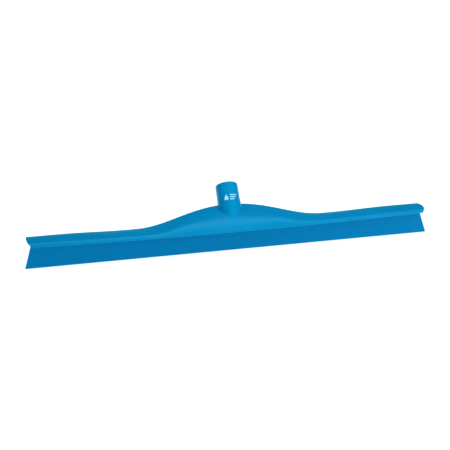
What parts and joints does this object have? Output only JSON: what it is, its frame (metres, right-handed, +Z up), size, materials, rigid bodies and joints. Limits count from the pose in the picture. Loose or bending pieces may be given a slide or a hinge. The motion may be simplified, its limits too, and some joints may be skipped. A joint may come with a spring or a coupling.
{
  "type": "floor squeegee head",
  "caption": "Long floor squeegee head: gull-wing plastic body with a rolled front lip, leaning handle socket and one flexible rubber blade.",
  "frame": {"origin": "on the handle socket's axis, where its inner wall begins just below the mouth", "axes": "+X along the blade, -Y the front, where the lip is, +Z up; the socket leans back towards +Y"},
  "size_m": [0.6, 0.0768, 0.0941],
  "materials": {
    "body_plastic": "semi-matt injection-moulded polypropylene, mid blue",
    "blade_rubber": "satin thermoplastic rubber, slightly darker blue",
    "print": "thin pale pad print"
  },
  "bodies": {
    "head": {"body": "body_plastic", "blade_root": "blade_rubber", "socket_mark": "print"},
    "blade": {"blade_lip": "blade_rubber"}
  },
  "joints": [
    {"name": "blade_flex", "type": "hinge", "parent": "head", "child": "blade", "pos_m": [0, -0.04479, -0.06006], "axis": [1, 0, 0], "range_deg": [-30, 30], "stiffness_Nm_per_rad": 1}
  ]
}
